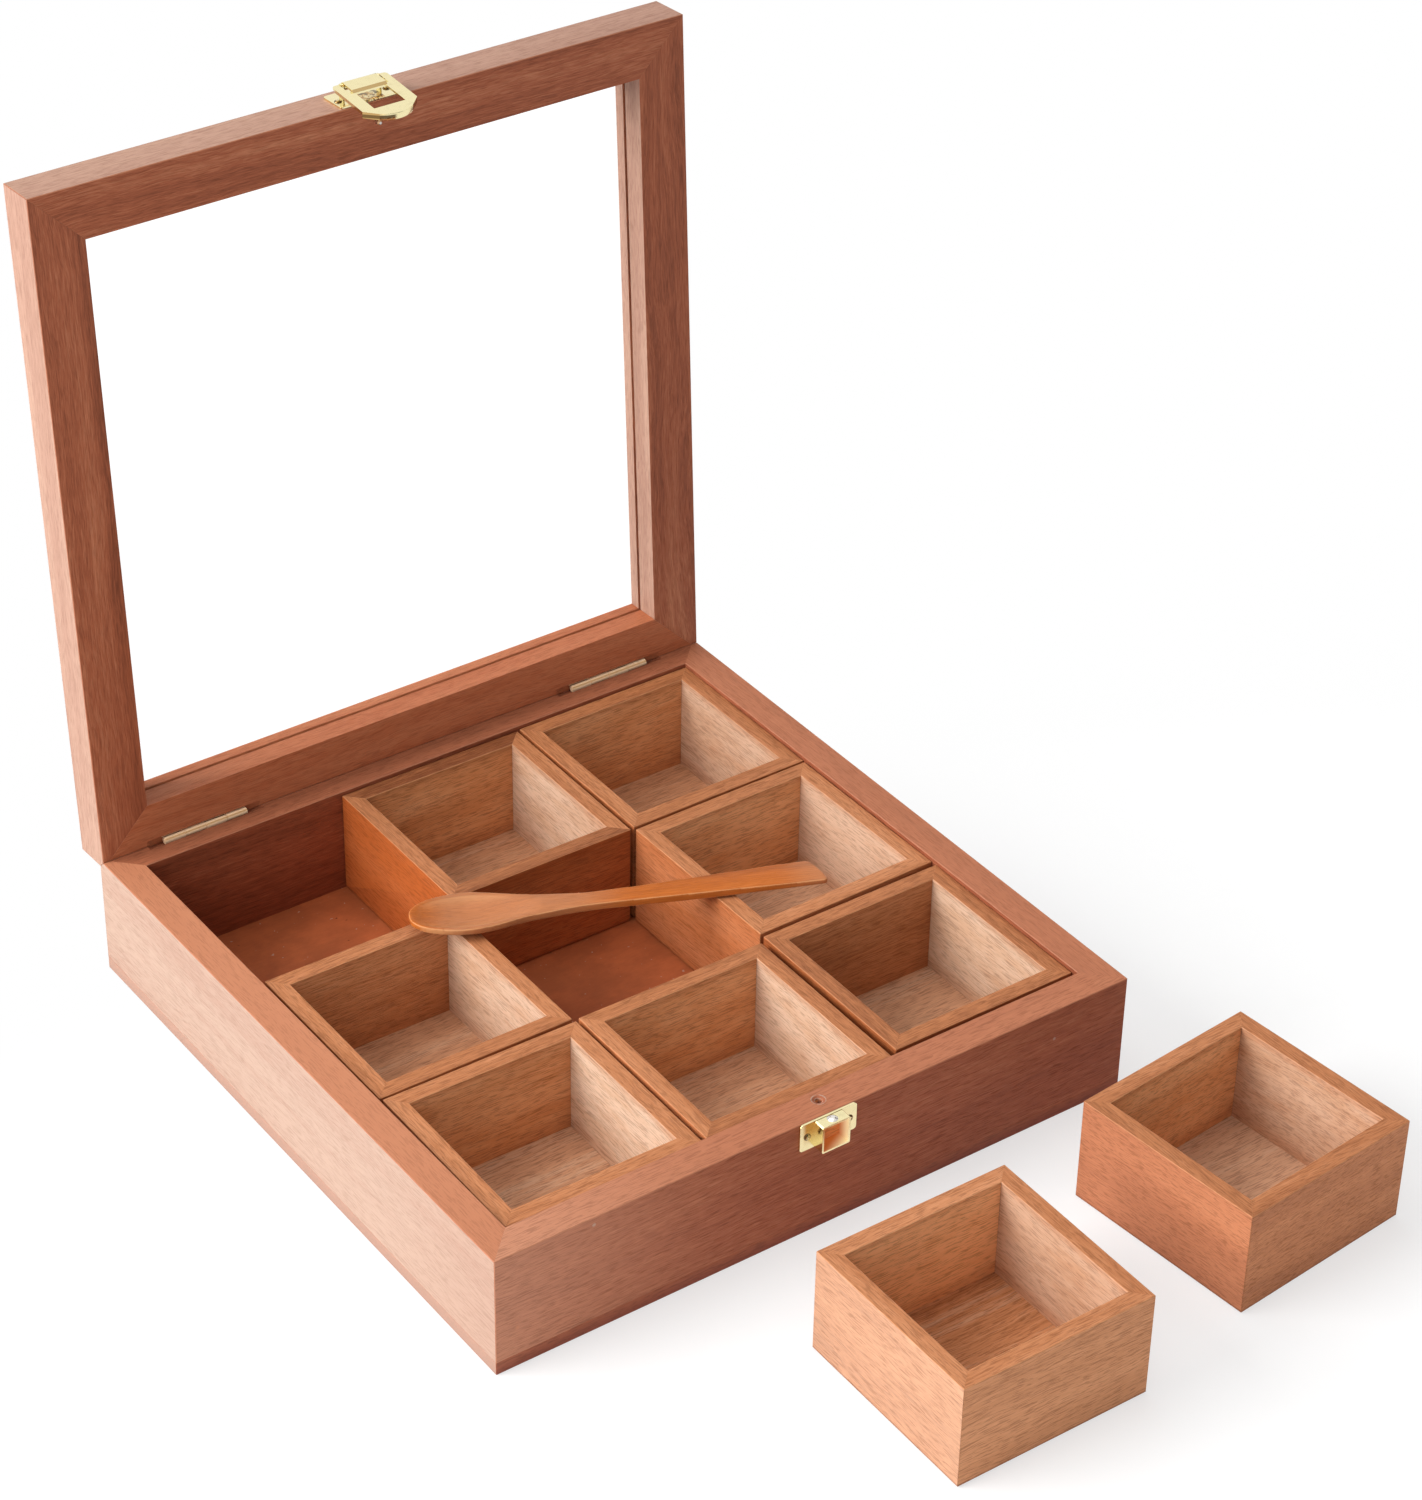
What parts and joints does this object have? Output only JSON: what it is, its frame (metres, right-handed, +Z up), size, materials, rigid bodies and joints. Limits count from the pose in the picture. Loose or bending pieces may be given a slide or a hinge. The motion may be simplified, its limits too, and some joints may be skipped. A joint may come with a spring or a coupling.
{
  "type": "wooden spice box with loose cups",
  "caption": "Square wooden spice box with a hinged glass lid, a brass snap catch, loose square cups standing in slots and outside, and a small wooden spoon.",
  "frame": {"origin": "middle of the underside of the case's bottom panel", "axes": "+X to the right along the front, +Y from the catch side towards the hinges, +Z up"},
  "size_m": [0.2822, 0.3962, 0.2993],
  "materials": {
    "case_wood": "satin oiled red-brown hardwood",
    "cup_wood": "satin oiled orange-tan hardwood",
    "cup_base_wood": "sanded open-pored hardwood",
    "spoon_wood": "smooth oiled golden-brown wood",
    "glass": "clear float glass",
    "brass": "dull rolled brass",
    "polished_brass": "polished and lacquered pale brass",
    "steel": "bright drawn wire"
  },
  "bodies": {
    "case": {"case_bottom_panel": "case_wood", "case_front_wall": "case_wood", "case_back_wall": "case_wood", "case_left_wall": "case_wood", "case_right_wall": "case_wood", "left_hinge_case_leaf": "brass", "right_hinge_case_leaf": "brass", "left_hinge_pin": "brass", "right_hinge_pin": "brass", "catch_keeper": "polished_brass", "catch_keeper_nails": "polished_brass"},
    "lid": {"lid_front_rail": "case_wood", "lid_back_rail": "case_wood", "lid_left_stile": "case_wood", "lid_right_stile": "case_wood", "lid_glass": "glass", "lid_locating_pin": "steel", "left_hinge_lid_leaf": "brass", "right_hinge_lid_leaf": "brass", "catch_base_plate": "polished_brass", "catch_base_nails": "polished_brass", "catch_pin": "steel"},
    "hasp": {"catch_hasp": "polished_brass"},
    "spoon": {"spoon": "spoon_wood"},
    "front_left_cup": {"front_left_cup_side_walls": "cup_wood", "front_left_cup_end_walls": "cup_wood", "front_left_cup_base": "cup_base_wood"},
    "front_middle_cup": {"front_middle_cup_side_walls": "cup_wood", "front_middle_cup_end_walls": "cup_wood", "front_middle_cup_base": "cup_base_wood"},
    "front_right_cup": {"front_right_cup_side_walls": "cup_wood", "front_right_cup_end_walls": "cup_wood", "front_right_cup_base": "cup_base_wood"},
    "middle_left_cup": {"middle_left_cup_side_walls": "cup_wood", "middle_left_cup_end_walls": "cup_wood", "middle_left_cup_base": "cup_base_wood"},
    "middle_right_cup": {"middle_right_cup_side_walls": "cup_wood", "middle_right_cup_end_walls": "cup_wood", "middle_right_cup_base": "cup_base_wood"},
    "back_middle_cup": {"back_middle_cup_side_walls": "cup_wood", "back_middle_cup_end_walls": "cup_wood", "back_middle_cup_base": "cup_base_wood"},
    "back_right_cup": {"back_right_cup_side_walls": "cup_wood", "back_right_cup_end_walls": "cup_wood", "back_right_cup_base": "cup_base_wood"},
    "near_loose_cup": {"near_loose_cup_side_walls": "cup_wood", "near_loose_cup_end_walls": "cup_wood", "near_loose_cup_base": "cup_base_wood"},
    "far_loose_cup": {"far_loose_cup_side_walls": "cup_wood", "far_loose_cup_end_walls": "cup_wood", "far_loose_cup_base": "cup_base_wood"}
  },
  "joints": [
    {"name": "lid_hinge", "type": "hinge", "parent": "case", "child": "lid", "pos_m": [0, 0.1224, 0.0465], "axis": [-1, 0, 0], "range_deg": [-93.24, 0]},
    {"name": "hasp_hinge", "type": "hinge", "parent": "lid", "child": "hasp", "pos_m": [0, 0.14365, 0.29795], "axis": [-1, 0, 0], "range_deg": [0, 110]},
    {"name": "spoon_lift", "type": "slide", "parent": "case", "child": "spoon", "axis": [0, 0, 1], "range_m": [0, 0.12]},
    {"name": "front_left_cup_lift", "type": "slide", "parent": "case", "child": "front_left_cup", "axis": [0, 0, 1], "range_m": [0, 0.06]},
    {"name": "front_middle_cup_lift", "type": "slide", "parent": "case", "child": "front_middle_cup", "axis": [0, 0, 1], "range_m": [0, 0.06]},
    {"name": "front_right_cup_lift", "type": "slide", "parent": "case", "child": "front_right_cup", "axis": [0, 0, 1], "range_m": [0, 0.06]},
    {"name": "middle_left_cup_lift", "type": "slide", "parent": "case", "child": "middle_left_cup", "axis": [0, 0, 1], "range_m": [0, 0.06]},
    {"name": "middle_right_cup_lift", "type": "slide", "parent": "case", "child": "middle_right_cup", "axis": [0, 0, 1], "range_m": [0, 0.06]},
    {"name": "back_middle_cup_lift", "type": "slide", "parent": "case", "child": "back_middle_cup", "axis": [0, 0, 1], "range_m": [0, 0.06]},
    {"name": "back_right_cup_lift", "type": "slide", "parent": "case", "child": "back_right_cup", "axis": [0, 0, 1], "range_m": [0, 0.06]},
    {"name": "near_loose_cup_lift", "type": "slide", "parent": "case", "child": "near_loose_cup", "axis": [0, 0, 1], "range_m": [0, 0.06]},
    {"name": "far_loose_cup_lift", "type": "slide", "parent": "case", "child": "far_loose_cup", "axis": [0, 0, 1], "range_m": [0, 0.06]}
  ],
  "couplings": [
    {"joint": "middle_left_cup_lift", "follows": "spoon_lift", "ratio": 0.5},
    {"joint": "middle_right_cup_lift", "follows": "spoon_lift", "ratio": 0.5}
  ]
}
